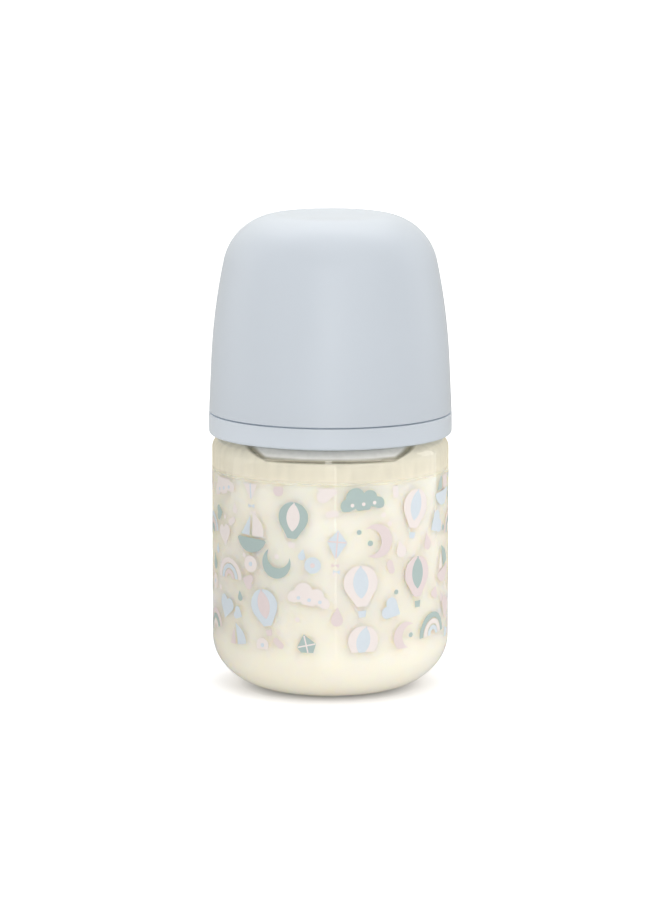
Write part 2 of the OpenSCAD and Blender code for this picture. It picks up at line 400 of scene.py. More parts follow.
def makeTeat():
    t = teat
    stem, inside = t["stem"] / 2, t["stem"] / 2 - t["wall"]
    flange = bottle["neckDiameter"] / 2 + t["overhang"]
    plug = bottle["neckDiameter"] / 2 - bottle["neckWall"] - t["plugGap"]
    edge, beadEdge = t["flange"] / 4, min(t["beadHeight"] / 2, t["beadWidth"])
    beadFoot, beadCentre = ringTop + t["beadGap"], stem + t["beadWidth"] - beadEdge
    tipHeight = teatArcs()[4][1] + t["tip"]
    line = [(inside, rimHeight), (plug - t["plugWall"], rimHeight),
            (plug - t["plugWall"], rimHeight - t["plugDepth"]),
            (plug, rimHeight - t["plugDepth"]), (plug, rimHeight)]
    line += arcLine((flange - edge, rimHeight + edge), edge, -90, 0, 15)
    line += arcLine((flange - edge, plateHeight - edge), edge, 0, 90, 15)
    line += [(stem, plateHeight), (stem, beadFoot)]
    line += arcLine((beadCentre, beadFoot + beadEdge), beadEdge, -90, 0, 15)
    line += arcLine((beadCentre, domeHeight - beadEdge), beadEdge, 0, 90, 15)
    line += teatLine(0)
    line += [(t["milkHole"] / 2, tipHeight), (t["milkHole"] / 2, tipHeight - t["wall"])]
    line += teatLine(t["wall"])[::-1] + line[:1]
    body = turnOnAxis("teatBody", line, steps=128)
    # each vent: a groove in the flange's top, a slit through its film, and a round cup
    cupAt, past = stem + t["ventCup"] / 2, t["cutPast"]
    for number in range(t["vents"]):
        for size, low, high, centre in (
                ((flange - cupAt + past, t["grooveWidth"]), plateHeight - t["grooveDepth"],
                 plateHeight + past, (flange + cupAt + past) / 2),
                ((t["slitLength"], t["slitWidth"]), rimHeight - past,
                 rimHeight + t["ventFilm"] + t["slitPast"], cupAt),
                (None, rimHeight + t["ventFilm"], plateHeight + past, cupAt)):
            turn = 2 * math.pi * number / t["vents"]
            place = (centre * math.cos(turn) * mm, centre * math.sin(turn) * mm,
                     (low + high) / 2 * mm)
            clearSelection()
            if size:
                bpy.ops.mesh.primitive_cube_add(size=mm, location=place, rotation=(0, 0, turn),
                                                scale=(size[0], size[1], high - low))
            else:
                bpy.ops.mesh.primitive_cylinder_add(vertices=32, radius=t["ventCup"] / 2 * mm,
                                                    depth=(high - low) * mm, location=place)
            combine(body, bpy.context.object, "DIFFERENCE")
    return body


teatBody = makeTeat()


# the screw ring: threaded sleeve, outer wall with its band, and the plate on the teat's flange

boreRadius = bottle["neckDiameter"] / 2 + ring["threadRoom"]
sleeveRadius = boreRadius + ring["sleeve"]
bandRadius = sleeveRadius + ring["skirtGap"] + ring["wall"]
mouthRadius = bandRadius - hood["inset"]
hoodInside = mouthRadius - hood["wall"]


def upperRadius(height):
    # the ring's upper part leans as the hood does
    return hoodInside - hood["gap"] - (height - seamHeight) * math.tan(math.radians(hood["lean"]))


def makeRing():
    r = ring
    ledge = seamHeight - r["wall"]
    topCentre = ringTop - r["topEdge"]
    topAt = upperRadius(topCentre) - r["topEdge"] / math.cos(math.radians(hood["lean"]))
    opening = teat["stem"] / 2 + r["stemGap"]
    snapHeight = seamHeight + r["snapAbove"]
    snapAt = upperRadius(snapHeight) + r["snapStand"] - r["snapRadius"]
    reach = math.degrees(math.acos((r["snapRadius"] - r["snapStand"]) / r["snapRadius"]))
    line = [(boreRadius, ringFoot), (sleeveRadius, ringFoot), (sleeveRadius, plateHeight),
            (upperRadius(plateHeight) - r["wall"], plateHeight),
            (upperRadius(ledge) - r["wall"], ledge), (bandRadius - r["wall"], ledge),
            (bandRadius - r["wall"], ringFoot)]
    line += arcLine((bandRadius - r["bandEdge"], ringFoot + r["bandEdge"]),
                    r["bandEdge"], -90, 0, 9)
    line += arcLine((bandRadius - hood["seamEdge"], seamHeight - hood["seamEdge"]),
                    hood["seamEdge"], 0, 90, 15)
    line.append((upperRadius(seamHeight), seamHeight))
    line += arcLine((snapAt, snapHeight), r["snapRadius"], -reach, reach, 8)
    line += arcLine((topAt, topCentre), r["topEdge"], hood["lean"], 90, 9)
    line += [(opening, ringTop), (opening, plateHeight), (boreRadius, plateHeight),
             (boreRadius, ringFoot)]
    return turnOnAxis("ringShell", line, steps=160)


ringShell = makeRing()
boreRidge = screwRidge("boreRidge", ridgeSection(boreRadius, -1),
                       thread["lowest"] + thread["lead"] / 2 - ring["ridgeDrop"],
                       thread["lead"], ring["ridgeTurns"], ring["ridgeStart"])
combine(ringShell, boreRidge, "UNION")
print("screw ring made, band", round(2 * bandRadius, 2), "mm across")


# the hood: a tall satin dome whose mouth meets the ring at a hairline seam

def hoodArcs():
    h = hood
    lean, sideEnd, crownEnd = (math.radians(h[k]) for k in ("lean", "sideEnd", "crownEnd"))
    tipHeight = teatArcs()[4][1] + teat["tip"]
    top = tipHeight + h["headroom"] + h["wall"]
    mouth = (mouthRadius - h["seamEdge"], seamHeight + h["seamEdge"])
    mouthTop = along(mouth, h["seamEdge"], h["lean"])
    rise = h["side"] * (math.sin(sideEnd) - math.sin(lean))
    rise += h["crown"] * (math.sin(crownEnd) - math.sin(sideEnd))
    rise += h["crest"] * (1 - math.sin(crownEnd))
    straight = top - mouthTop[1] - rise
    sideFoot = (mouthTop[0] - straight * math.tan(lean), mouthTop[1] + straight)
    side = along(sideFoot, -h["side"], h["lean"])
    crown = along(side, h["side"] - h["crown"], h["sideEnd"])
    crest = along(crown, h["crown"] - h["crest"], h["crownEnd"])
    return top, mouth, side, crown, crest


def hoodLine(inward):
    h = hood
    _, _, side, crown, crest = hoodArcs()
    line = arcLine(side, h["side"] - inward, h["lean"], h["sideEnd"], 0.6)
    line += arcLine(crown, h["crown"] - inward, h["sideEnd"], h["crownEnd"], 3)
    line += arcLine(crest, h["crest"] - inward, h["crownEnd"], 90, 2)
    return line


def makeHood():
    h = hood
    top, mouth, _, _, crest = hoodArcs()
    dishR = bowlRadius(crest[0], h["dish"])
    dishEnd = math.degrees(math.asin(crest[0] / dishR))
    lip = (mouth[0], mouth[1] + h["seamGap"])
    line = [(hoodInside, seamHeight + h["seamGap"])]
    line += arcLine(lip, h["seamEdge"], -90, h["lean"], 15)
    line += hoodLine(0)
    line += arcLine((0, top - h["dish"] + dishR), -dishR, 90 + dishEnd, 90, 0.4)
    line += [(0, top - h["wall"])] + hoodLine(h["wall"])[::-1] + line[:1]
    return turnOnAxis("hoodShell", line, steps=192)


hoodShell = makeHood()
print("hood made,", round(hoodArcs()[0], 2), "mm high, frame", round(cadBounds[1].z / mm, 2))


# the print: its shapes are drawn flat on an unrolled sheet, cut off at the band's edges and bent
# round the bottle

printBand = {"low": 15, "high": 60, "sunk": 0.02, "proud": 0.03, "overlap": 0.02, "cutEvery": 2}
# wanted: each shape, the most there may be of it, and its size
printPlan = {
    "seed": 41, "tries": 260, "scaleGap": 34, "sideRoom": 0.8, "edgeRoom": 0.1, "between": 0.15,
    "nested": 0.93, "growth": (0.9, 1.08), "tilt": 16, "anyWayUp": ("bean", "moon", "heart"),
    "wanted": (("balloon", 9, 1.15), ("rainbow", 8, 1.15), ("cloud", 9, 1.2), ("boat", 8, 1.2),
               ("kite", 8, 1.1), ("longCloud", 8, 1.1), ("moon", 10, 1.15), ("heart", 12, 1.05),
               ("loop", 8, 1.05), ("drop", 18, 1), ("bean", 8, 0.8), ("heart", 14, 0.6),
               ("drop", 14, 0.6), ("disc", 16, 0.7)),
}
inks = {"sage": "#B9CBC7", "blush": "#FFF4EF", "sky": "#E4EDF4", "mauve": "#F3E4E2"}


def flatShape(name, outline, raised=0):
    # a closed outline in the sheet's plane, filled and given its ink's thickness
    low = -printBand["sunk"] + raised * printBand["overlap"] / 2
    high = printBand["proud"] + raised * printBand["overlap"]
    shape = drawLine(name, [(x, y, low) for x, y in outline + outline[:1]])
    mergeClose(merging["flat"])
    bpy.ops.mesh.fill()
    bpy.ops.mesh.extrude_region_move(TRANSFORM_OT_translate={"value": (0, 0, (high - low) * mm)})
    bpy.ops.mesh.select_all(action="SELECT")
    bpy.ops.mesh.normals_make_consistent(inside=False)
    bpy.ops.mesh.quads_convert_to_tris(ngon_method="BEAUTY")
    bpy.ops.object.mode_set(mode="OBJECT")
    return shape


def puffLine(discs, count=96):
    # the outside of several overlapping discs, seen from the middle
    line = []
    for i in range(count):
        turn = 2 * math.pi * i / count
        far = 0
        for x, y, r in discs:
            middle = x * math.cos(turn) + y * math.sin(turn)
            inside = r * r - (x * x + y * y - middle * middle)
            if inside > 0:
                far = max(far, middle + math.sqrt(inside))
        line.append((far * math.cos(turn), far * math.sin(turn)))
    return line


def cutFlat(line, floorAt):
    # a flat underside for a cloud
    return [(x, max(y, floorAt)) for x, y in line]


def motifShapes():
    # name: (radius of the room it needs, [(which ink, raised, outline)])
    cloud = cutFlat(puffLine([(-3.4, -0.8, 1.6), (-1.5, 0.9, 2.1), (1.6, 0.5, 1.7),
                              (3.5, -0.9, 1.4), (0, -0.6, 1.9)]), -2)
    longCloud = cutFlat(puffLine([(-4.2, -0.8, 1.2), (-2, 0.3, 1.6), (0.9, 0.8, 1.9),
                                  (3.3, -0.1, 1.4), (4.9, -0.9, 0.9), (0, -0.9, 1.3)]), -1.7)
    moon = arcLine((0, 0), 4, 50, 310, 8) + arcLine((1.9, 0), 3.15, 283, 77, 9)
    heart = (arcLine((-1.45, 0.9), 1.75, 222, 32, 12) + arcLine((1.45, 0.9), 1.75, 148, -42, 12)
             + [(0, -3.3)])
    drop = arcLine((0, -0.8), 1.6, 150, 390, 12) + [(0.1, 2.6)]
    hull = arcLine((0, 0), 4.2, 200, 340, 10) + [(3.4, -1.1), (-3.4, -1.1)]
    mainSail = ([(0.35, -0.55), (0.35, 4.6)] + arcLine((-1.2, 0), 4.6, 55, 0, 8)[2:]
                + [(3.3, -0.55)])
    foreSail = [(-0.35, -0.55), (-2.8, -0.55), (-0.35, 3.5)]
    envelope = arcLine((0, 1.4), 4, -38, 218, 9) + [(-1.15, -4.1), (1.15, -4.1)]
    gore = (arcLine((-2.9, 1.4), 4.7, -50, 56, 9) + arcLine((2.9, 1.4), 4.7, 124, 230, 9))
    basket = [(-0.95, -5.1), (0.95, -5.1), (0.75, -6.6), (-0.75, -6.6)]
    kite = [(0, 4.4), (2.7, 1.2), (0, -3.6), (-2.7, 1.2)]
    kiteBar = [(-2.5, 1.42), (-0.2, 1.42), (-0.2, 4), (0.2, 4), (0.2, 1.42), (2.5, 1.42),
               (2.5, 1.02), (0.2, 1.02), (0.2, -3.1), (-0.2, -3.1), (-0.2, 1.02), (-2.5, 1.02)]
    bow = [(-1.1, -4.6), (0, -5.05), (1.1, -4.6), (1.1, -5.7), (0, -5.25), (-1.1, -5.7)]
    lowBow = [(x * 0.8 + 0.5, y - 1.7) for x, y in bow]

    def rainbow(outer, inner):
        return arcLine((0, -2), outer, 0, 180, 9) + arcLine((0, -2), inner, 180, 0, 9)

    def loop(outer, inner):
        return arcLine((0, 0), outer, 0, 360, 15) + arcLine((0, 0), inner, 360, 0, 15)

    def dot(x, y, radius):
        return arcLine((x, y), radius, 0, 340, 20)

    rain = ((-2.4, -2.7), (-0.8, -3.5), (0.8, -2.7), (2.4, -3.5))
    bean = arcLine((-1.2, 0), 1.15, 90, 270, 15) + arcLine((1.2, 0), 1.15, -90, 90, 15)
    return {
        "balloon": (6.6, [(0, 0, envelope), (1, 1, gore), (1, 0, basket)]),
        "rainbow": (5.7, [(0, 0, rainbow(5.4, 4.1)), (1, 0, rainbow(3.8, 2.6)),
                          (2, 0, rainbow(2.3, 1.2))]),
        "cloud": (5.5, [(0, 0, cloud)] + [(1, 1, dot(x, -0.7, 0.42)) for x in (-2.4, 0.1, 2.6)]),
        "longCloud": (5.6, [(0, 0, longCloud)] + [(1, 0, dot(x, y, 0.4)) for x, y in rain]),
        "boat": (5.2, [(0, 0, hull), (1, 0, mainSail), (2, 0, foreSail)]),
        "kite": (5.6, [(0, 0, kite), (1, 1, kiteBar), (1, 0, bow), (0, 0, lowBow)]),
        "moon": (4.3, [(0, 0, moon), (1, 0, dot(1.6, 0.3, 0.65))]),
        "heart": (3.4, [(0, 0, heart)]),
        "drop": (2.7, [(0, 0, drop)]),
        "loop": (2.3, [(0, 0, loop(2.1, 1.3)), (1, 0, dot(0, 0, 0.6))]),
        "bean": (2.5, [(0, 0, bean)]),
        "disc": (1.1, [(0, 0, dot(0, 0, 1))]),
    }


def planSheet(half, room):
    # big shapes first, each where it clears the ones already there
    p = printPlan
    dice = random.Random(p["seed"])
    low, high = printBand["low"], printBand["high"]
    clear = half - p["scaleGap"] / 2
    placed, plan = [], []
    for name, count, size in p["wanted"]:
        reach = room[name][0] * size
        aside, inside = reach * p["sideRoom"], reach * p["edgeRoom"]
        tilt = 180 if name in p["anyWayUp"] else p["tilt"]
        for _ in range(count):
            for _ in range(p["tries"]):
                x = dice.uniform(-clear + aside, clear - aside)
                y = dice.uniform(low + inside, high - inside)
                grow = size * dice.uniform(*p["growth"])
                if all((x - a) ** 2 + (y - b) ** 2 > (reach + r + p["between"]) ** 2
                       for a, b, r in placed):
                    placed.append((x, y, reach * p["nested"]))
                    lean = math.radians(dice.uniform(-tilt, tilt))
                    plan.append((name, x, y, lean, grow, dice.randrange(len(inks))))
                    break
    return plan


def wrapSheet(sheet, radius, turn=0):
    # cut at the band's edges and every few millimetres, then bent round the bottle
    useOnly(sheet)
    bpy.ops.object.mode_set(mode="EDIT")
    for height, up in ((printBand["low"], -1), (printBand["high"], 1)):
        bpy.ops.mesh.select_all(action="SELECT")
        bpy.ops.mesh.bisect(plane_co=(0, height * mm, 0), plane_no=(0, up, 0), use_fill=True,
                            clear_outer=True)
    reach = max(abs(v.co.x) for v in sheet.data.vertices) / mm
    cuts = int(reach / printBand["cutEvery"])
    for i in range(-cuts, cuts + 1):
        bpy.ops.mesh.select_all(action="SELECT")
        bpy.ops.mesh.bisect(plane_co=(i * printBand["cutEvery"] * mm, 0, 0), plane_no=(1, 0, 0))
    bpy.ops.mesh.select_all(action="SELECT")
    bpy.ops.transform.rotate(value=-math.pi / 2, orient_axis="X", center_override=(0, 0, 0))
    bpy.ops.object.mode_set(mode="OBJECT")
    if min(v.co.z for v in sheet.data.vertices) < 0:
        raise SystemExit("the sheet was turned the wrong way up")
    across = [v.co.x for v in sheet.data.vertices]
    bend = sheet.modifiers.new("wrap", "SIMPLE_DEFORM")
    bend.deform_method, bend.deform_axis = "BEND", "Z"
    bend.angle = (max(across) - min(across)) / (radius * mm)
    bpy.ops.object.modifier_apply(modifier="wrap")
    bpy.ops.object.mode_set(mode="EDIT")
    bpy.ops.mesh.select_all(action="SELECT")
    bpy.ops.transform.translate(value=(0, -radius * mm, 0))
    if turn:
        bpy.ops.transform.rotate(value=turn, orient_axis="Z", center_override=(0, 0, 0))
    bpy.ops.mesh.normals_make_consistent(inside=False)
    bpy.ops.object.mode_set(mode="OBJECT")
    bpy.ops.object.shade_smooth_by_angle(angle=math.radians(sharpFrom["cut"]))
    return sheet


def joinAll(pieces, name):
    clearSelection()
    for piece in pieces:
        piece.select_set(True)
    bpy.context.view_layer.objects.active = pieces[0]
    bpy.ops.object.transform_apply(location=True, rotation=True, scale=True)
    bpy.ops.object.join()
    joined = bpy.context.object
    joined.name = joined.data.name = name
    return joined


def makePrint():
    radius = bottle["diameter"] / 2
    shapes = motifShapes()
    masters = {name: [(ink, flatShape(name + str(i), outline, raised))
                      for i, (ink, raised, outline) in enumerate(parts)]
               for name, (_, parts) in shapes.items()}
    sheets = {name: [] for name in inks}
    inkOrder = list(inks)
    for name, x, y, lean, grow, pick in planSheet(math.pi * radius, shapes):
        for ink, master in masters[name]:
            useOnly(master)
            bpy.ops.object.duplicate()
            copy = bpy.context.object
            copy.location = (x * mm, y * mm, 0)
            copy.rotation_euler = (0, 0, lean)
            copy.scale = (grow, grow, 1)
            sheets[inkOrder[(pick + ink) % len(inks)]].append(copy)
    for parts in masters.values():
        for _, master in parts:
            bpy.data.objects.remove(master)
    return {ink: wrapSheet(joinAll(copies, "print" + ink.capitalize()), radius)
            for ink, copies in sheets.items()}


prints = makePrint()
print("print wrapped:", sum(len(p.data.polygons) for p in prints.values()), "faces")


# the scale at the back: a tick every 10 ml and a number every 30 ml

volumeScale = {
    "floorAt": 4.0, "perMl": 0.3267, "last": 150, "tickEvery": 10, "numberEvery": 30,
    "aboveEdge": 1, "tickAt": -5, "tick": 2.4, "longTick": 4.4, "line": 0.35, "numberAt": 0.6,
    "textSize": 4.2,
}


def makeScale():
    v = volumeScale
    sunk, proud = printBand["sunk"], printBand["proud"]
    parts = []
    for ml in range(v["tickEvery"], v["last"] + 1, v["tickEvery"]):
        height = v["floorAt"] + v["perMl"] * ml
        if height < printBand["low"] + v["aboveEdge"]:
            continue
        numbered = ml % v["numberEvery"] == 0
        wide = v["longTick"] if numbered else v["tick"]
        half = v["line"] / 2
        ends = arcLine((v["tickAt"] + wide, height), half, -90, 90, 30)
        ends += arcLine((v["tickAt"], height), half, 90, 270, 30)
        parts.append(flatShape("tick", ends))
        if numbered:
            clearSelection()
            bpy.ops.object.text_add()
            number = bpy.context.object
            number.data.body = str(ml)
            number.data.size = v["textSize"] * mm
            number.data.extrude = (sunk + proud) / 2 * mm
            number.data.align_x, number.data.align_y = "LEFT", "CENTER"
            number.location = (v["numberAt"] * mm, height * mm, (proud - sunk) / 2 * mm)
            bpy.ops.object.convert(target="MESH")
            bpy.ops.object.mode_set(mode="EDIT")
            mergeClose(merging["cut"])
            bpy.ops.mesh.quads_convert_to_tris(ngon_method="BEAUTY")
            bpy.ops.object.mode_set(mode="OBJECT")
            parts.append(bpy.context.object)
    return wrapSheet(joinAll(parts, "volumeMarks"), bottle["diameter"] / 2, math.pi)


volumeMarks = makeScale()
print("volume marks made")


# materials

def letLightThrough(tree, surface, code):
    # what a thin wall of it passes on to whatever lies behind it
    passing = addNode(tree, "ShaderNodeBsdfTransparent", {"Color": colour(code)})
    rays = addNode(tree, "ShaderNodeLightPath")
    mixed = addNode(tree, "ShaderNodeMixShader", None,
                    {0: rays.outputs["Is Shadow Ray"], 1: surface, 2: passing})
    addNode(tree, "ShaderNodeOutputMaterial", None, {"Surface": mixed})


def clearPolypropylene():
    # clarified polypropylene, blow-moulded: glassy, a little warm, with faint waves in its gloss
    material, tree, place = newMaterial("clearPolypropylene")
    waves = addNode(tree, "ShaderNodeTexNoise", {"Scale": 1 / (14 * mm), "Detail": 1.0},
                    {"Vector": place})
    relief = addNode(tree, "ShaderNodeBump", {"Strength": 0.12, "Distance": 0.1 * mm},
                     {"Height": waves})
    plastic = addNode(tree, "ShaderNodeBsdfPrincipled",
                      {"Base Color": colour("#FCFBF7"), "Roughness": 0.03, "IOR": 1.49,
                       "Transmission Weight": 1.0}, {"Normal": relief})
    letLightThrough(tree, plastic, "#FCFBF9")
    return material


def wholeMilk():
    # formula milk: dense warm ivory that light soaks into, with hardly any clouding
    material, tree, place = newMaterial("wholeMilk")
    cloudy = addNode(tree, "ShaderNodeTexNoise", {"Scale": 1 / (22 * mm), "Detail": 2.0},
                     {"Vector": place})
    tone = addNode(tree, "ShaderNodeValToRGB", None, {"Fac": cloudy})
    setStops(tone, ((0, colour("#F8F1E4")), (1, colour("#FAF4EB"))))
    liquid = addNode(tree, "ShaderNodeBsdfPrincipled",
                     {"Roughness": 0.25, "IOR": 1.35, "Subsurface Weight": 1.0,
                      "Subsurface Radius": (1.0, 0.85, 0.6), "Subsurface Scale": 8 * mm},
                     {"Base Color": tone})
    addNode(tree, "ShaderNodeOutputMaterial", None, {"Surface": liquid})
    return material


# heights and widths in millimetres; the stops run through "fading", from low to high
filmLook = {
    "streakWidth": 2.5, "streakLength": 12, "unevenness": (0.92, 1.08), "paintedSideRise": (17, 28, 3.6),
    "wetting": (60.3, 61.9), "fading": (65, 70), "glow": 0.22,
    "cover": ((0.24, 0.86), (0.32, 0.5), (0.42, 0.55), (0.5, 0.85)),
    # the two dark middle stops are a painted line of shade, the white last stop a painted light
    "tones": ((0.24, "#F4F0E2"), (0.32, "#8E8974"), (0.4, "#A39E8B"), (0.5, "#FDFEFF")),
}


def milkySkin():
    # the film the milk leaves on the wall: pale cream, higher at the left and right, which is
    # painted light, with a painted line of shade at its upper edge and a whitish painted light
    # over that on the shoulder
    f = filmLook
    material, tree, place = newMaterial("milkySkin")
    across, down = 1 / (f["streakWidth"] * mm), 1 / (f["streakLength"] * mm)
    streaks = addNode(tree, "ShaderNodeMapping", {"Scale": (across, across, down)},
                      {"Vector": place})
    runs = addNode(tree, "ShaderNodeTexNoise", {"Scale": 1.0, "Detail": 2.0},
                   {"Vector": streaks})
    apart = addNode(tree, "ShaderNodeSeparateXYZ", None, {0: place})
    aside = addNode(tree, "ShaderNodeMath", {"operation": "ABSOLUTE"}, {0: apart.outputs["X"]})
    # painted light: the pale film climbs higher at the left and right, so the shoulder's sides
    # read brighter
    inner, outer, risen = f["paintedSideRise"]
    paintedSideRise = addNode(tree, "ShaderNodeMapRange",
                      {"From Min": inner * mm, "From Max": outer * mm, "To Max": risen * mm},
                      {"Value": aside})
    above = addNode(tree, "ShaderNodeMath", {"operation": "SUBTRACT"},
                    {0: apart.outputs["Z"], 1: paintedSideRise})
    height = addNode(tree, "ShaderNodeMapRange",
                     {"From Min": f["fading"][0] * mm, "From Max": f["fading"][1] * mm},
                     {"Value": above})
    # how much film covers the wall by height: thinning as it drains, then half-covering the
    # painted shade line, and thick again under the painted light on the shoulder
    drainedAndPaintedCover = addNode(tree, "ShaderNodeValToRGB", None, {"Fac": height})
    setStops(drainedAndPaintedCover, [(where, grey(level)) for where, level in f["cover"]])
    wetted = addNode(tree, "ShaderNodeMapRange",
                     {"From Min": f["wetting"][0] * mm, "From Max": f["wetting"][1] * mm},
                     {"Value": apart.outputs["Z"]})
    thinner = addNode(tree, "ShaderNodeMapRange",
                      {"From Min": 0.3, "From Max": 0.7, "To Min": f["unevenness"][0],
                       "To Max": f["unevenness"][1]}, {"Value": runs})
    left = addNode(tree, "ShaderNodeMath", {"operation": "MULTIPLY", "use_clamp": True},
                   {0: drainedAndPaintedCover, 1: thinner})
    thick = addNode(tree, "ShaderNodeMath", {"operation": "MULTIPLY"},
                    {0: left, 1: wetted})
    # the cream's colour, with the painted shade line and the painted light on the shoulder above
    # it
    creamWithPaintedShadeAndLight = addNode(tree, "ShaderNodeValToRGB", None, {"Fac": height})
    setStops(creamWithPaintedShadeAndLight, [(where, colour(code)) for where, code in f["tones"]])
    bare = addNode(tree, "ShaderNodeBsdfTransparent", {"Color": colour("#FFFEFA")})
    cream = addNode(tree, "ShaderNodeBsdfPrincipled", {"Roughness": 0.3, "IOR": 1.35},
                    {"Base Color": creamWithPaintedShadeAndLight})
    lit = addNode(tree, "ShaderNodeBsdfTranslucent", None, {"Color": creamWithPaintedShadeAndLight})
    coat = addNode(tree, "ShaderNodeMixShader", {0: f["glow"]}, {1: cream, 2: lit})
    mixed = addNode(tree, "ShaderNodeMixShader", None, {0: thick, 1: bare, 2: coat})
    letLightThrough(tree, mixed, "#FBF9F0")
    return material


def screenInk(name, code):
    # UV screen ink: a flat matt film, very slightly mottled where it went on thinner
    material, tree, place = newMaterial(name)
    mottle = addNode(tree, "ShaderNodeTexNoise", {"Scale": 1 / (0.9 * mm), "Detail": 3.0},
                     {"Vector": place})
    base = colour(code)[:3]
    tone = addNode(tree, "ShaderNodeValToRGB", None, {"Fac": mottle})
    setStops(tone, ((0, [c * 0.97 for c in base] + [1]),
                    (1, [min(1, c * 1.02) for c in base] + [1])))
    film = addNode(tree, "ShaderNodeBsdfPrincipled", {"Roughness": 0.5, "IOR": 1.5},
                   {"Base Color": tone})
    addNode(tree, "ShaderNodeOutputMaterial", None, {"Surface": film})
    return material


def satinPolypropylene(name, passing):
    # pale blue-grey polypropylene from an eroded mould: satin, its grain drawn three times
    # coarser than the real tenth of a millimetre so that it shows
    material, tree, place = newMaterial(name)
    grain = addNode(tree, "ShaderNodeTexNoise", {"Scale": 1 / (0.3 * mm), "Detail": 2.0},
                    {"Vector": place})
    relief = addNode(tree, "ShaderNodeBump", {"Strength": 0.1, "Distance": 0.02 * mm},
                     {"Height": grain})
    drift = addNode(tree, "ShaderNodeTexNoise", {"Scale": 1 / (30 * mm), "Detail": 1.0},
                    {"Vector": place})
    tone = addNode(tree, "ShaderNodeValToRGB", None, {"Fac": drift})
    setStops(tone, ((0, colour("#CCD2D8")), (1, colour("#CFD5DB"))))
    plastic = addNode(tree, "ShaderNodeBsdfPrincipled", {"Roughness": 0.42, "IOR": 1.49},
                      {"Base Color": tone, "Normal": relief})
    glow = addNode(tree, "ShaderNodeBsdfTranslucent", None, {"Color": tone})
    wall = addNode(tree, "ShaderNodeMixShader", {0: 0.2}, {1: plastic, 2: glow})
    letLightThrough(tree, wall, passing)
    return material


def softSilicone():
    # liquid silicone rubber: milky and see-through in thin walls, with a silky bloom
    material, tree, place = newMaterial("softSilicone")
    bloom = addNode(tree, "ShaderNodeTexNoise", {"Scale": 1 / (2.5 * mm), "Detail": 3.0},
                    {"Vector": place})
    sheen = addNode(tree, "ShaderNodeMapRange", {"To Min": 0.24, "To Max": 0.36},
                    {"Value": bloom})
    rubber = addNode(tree, "ShaderNodeBsdfPrincipled",
                     {"Base Color": colour("#FAF9F5"), "IOR": 1.41, "Transmission Weight": 0.5},
                     {"Roughness": sheen})
    milky = addNode(tree, "ShaderNodeBsdfTranslucent", {"Color": colour("#FEFDFA")})
    wall = addNode(tree, "ShaderNodeMixShader", {0: 0.35}, {1: rubber, 2: milky})
    letLightThrough(tree, wall, "#F2F1EE")
    return material


# much light passes the ring, so the space under it isn't black, and little passes the hood, so
# the seam stays a dark line
ringPlastic = satinPolypropylene("satinRingPolypropylene", "#FAFBFB")
hoodPlastic = satinPolypropylene("satinHoodPolypropylene", "#A8AEB4")

dress(bottleWall, clearPolypropylene(), "bottle")
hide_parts("bottle")
dress(milkBody, wholeMilk(), "bottle")
dress(milkFilm, milkySkin(), "bottle")
dress(teatBody, softSilicone(), "teat")
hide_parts("teat")
dress(ringShell, ringPlastic, "ring")
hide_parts("screw_ring")
dress(hoodShell, hoodPlastic, "hood")
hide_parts("hood")
for inkName, sheet in prints.items():
    dress(sheet, screenInk(inkName + "Ink", inks[inkName]), "bottle")
dress(volumeMarks, screenInk("scaleInk", "#A9B6B4"), "bottle")
print("materials given")


# the studio: a white floor that keeps the shadow and adds a painted one round the foot,
# one card at the left, soft lamps

floorLook = {
    "halfWidth": 8, "cuts": 3, "fibre": 3, "relief": 0.05, "glow": 0.35, "facing": 0.4,
    # near and far distance from the axis in millimetres, and the values there
    # the paper's shade and the seen, through and mirrored lifts fall off towards the foot: a
    # painted shadow round it
    "byDistance": {"paintedFootShadow": (15.5, 26, 0.14, 0.745), "seenLift": (15.5, 44, 0, 1),
                   "throughLift": (15, 30, 0.75, 1), "mirroredLift": (40, 400, 0, 1),
                   "stripLift": (60, 260, 0, 2.4)},
    # two bright strips that only the bottle's gloss sees in front: painted highlights
    "strips": ((0.14, 0), (0.22, 0.18), (0.57, 0.18), (0.585, 1), (0.615, 1), (0.63, 0)),
}


